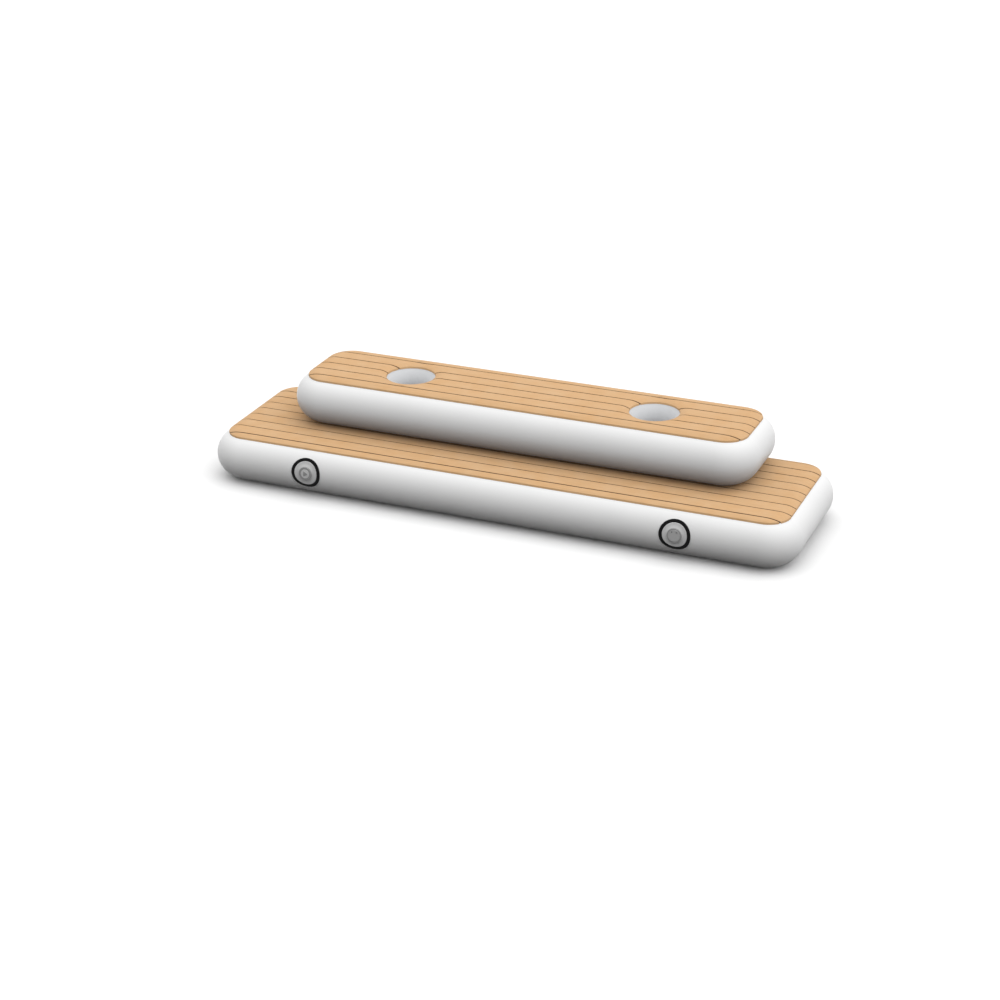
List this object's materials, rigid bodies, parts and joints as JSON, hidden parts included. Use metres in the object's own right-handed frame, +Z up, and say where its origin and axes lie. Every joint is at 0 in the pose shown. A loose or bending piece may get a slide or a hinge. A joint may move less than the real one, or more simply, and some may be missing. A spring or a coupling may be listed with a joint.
{
  "type": "inflatable transom bumper",
  "caption": "Two-tier inflated boat bumper: a long white air block with a shorter one on top, tan plank-look foam decks, round wells and rail valves.",
  "frame": {"origin": "centre of the flat underside of the lower block", "axes": "+X along the bumper, -Y towards the front rail that carries the valves, +Z up"},
  "size_m": [1.784, 0.5178, 0.3],
  "materials": {
    "pvc_fabric": "satin PVC-coated drop-stitch fabric, white",
    "eva_deck": "matt closed-cell EVA foam, tan with brown routed lines",
    "black_rubber": "matt moulded rubber",
    "grey_patch": "satin coated fabric, light grey",
    "grey_nylon": "moulded nylon, mid grey",
    "pale_nylon": "moulded nylon, light grey",
    "cover_nylon": "moulded nylon, mid grey",
    "black_nylon": "moulded glass-filled nylon, black",
    "seal_rubber": "matt seal rubber, black",
    "spring_steel": "drawn stainless wire"
  },
  "bodies": {
    "bumper": {"lower_chamber": "pvc_fabric", "lower_deck_pad": "eva_deck", "upper_chamber": "pvc_fabric", "upper_deck_pad": "eva_deck", "fill_ring": "black_rubber", "fill_patch": "grey_patch", "fill_body": "grey_nylon", "fill_nut": "black_nylon", "fill_spring": "spring_steel", "relief_ring": "black_rubber", "relief_patch": "grey_patch", "relief_body": "grey_nylon", "relief_nut": "black_nylon", "relief_spring": "spring_steel", "relief_adjuster": "black_nylon", "relief_cover": "cover_nylon", "upper_fill_ring": "black_rubber", "upper_fill_patch": "grey_patch", "upper_fill_body": "grey_nylon", "upper_fill_nut": "black_nylon", "upper_fill_spring": "spring_steel"},
    "fill_cap": {"fill_cap": "pale_nylon", "fill_cap_seal": "seal_rubber"},
    "fill_stem": {"fill_stem": "black_nylon", "fill_seal": "seal_rubber"},
    "relief_poppet": {"relief_poppet": "black_nylon", "relief_seal": "seal_rubber"},
    "upper_fill_cap": {"upper_fill_cap": "pale_nylon", "upper_fill_cap_seal": "seal_rubber"},
    "upper_fill_stem": {"upper_fill_stem": "black_nylon", "upper_fill_seal": "seal_rubber"}
  },
  "joints": [
    {"name": "fill_cap_turn", "type": "hinge", "parent": "bumper", "child": "fill_cap", "pos_m": [-0.56, -0.25522, 0.07925], "axis": [0, -0.9962, 0.0872], "range_deg": [0, 90]},
    {"name": "fill_stem_push", "type": "slide", "parent": "bumper", "child": "fill_stem", "axis": [0, 0.9962, -0.0872], "range_m": [0, 0.006], "stiffness_N_per_m": 400, "springref_m": -0.004, "deforming": ["fill_spring"]},
    {"name": "relief_poppet_lift", "type": "slide", "parent": "bumper", "child": "relief_poppet", "axis": [0, -0.9962, 0.0872], "range_m": [0, 0.0025], "stiffness_N_per_m": 2000, "springref_m": -0.003, "deforming": ["relief_spring"]},
    {"name": "upper_fill_cap_turn", "type": "hinge", "parent": "bumper", "child": "upper_fill_cap", "pos_m": [-0.70375, 0.0713, 0.2229], "axis": [-1, 0, 0], "range_deg": [0, 90]},
    {"name": "upper_fill_stem_push", "type": "slide", "parent": "bumper", "child": "upper_fill_stem", "axis": [1, 0, 0], "range_m": [0, 0.006], "stiffness_N_per_m": 400, "springref_m": -0.004, "deforming": ["upper_fill_spring"]}
  ]
}
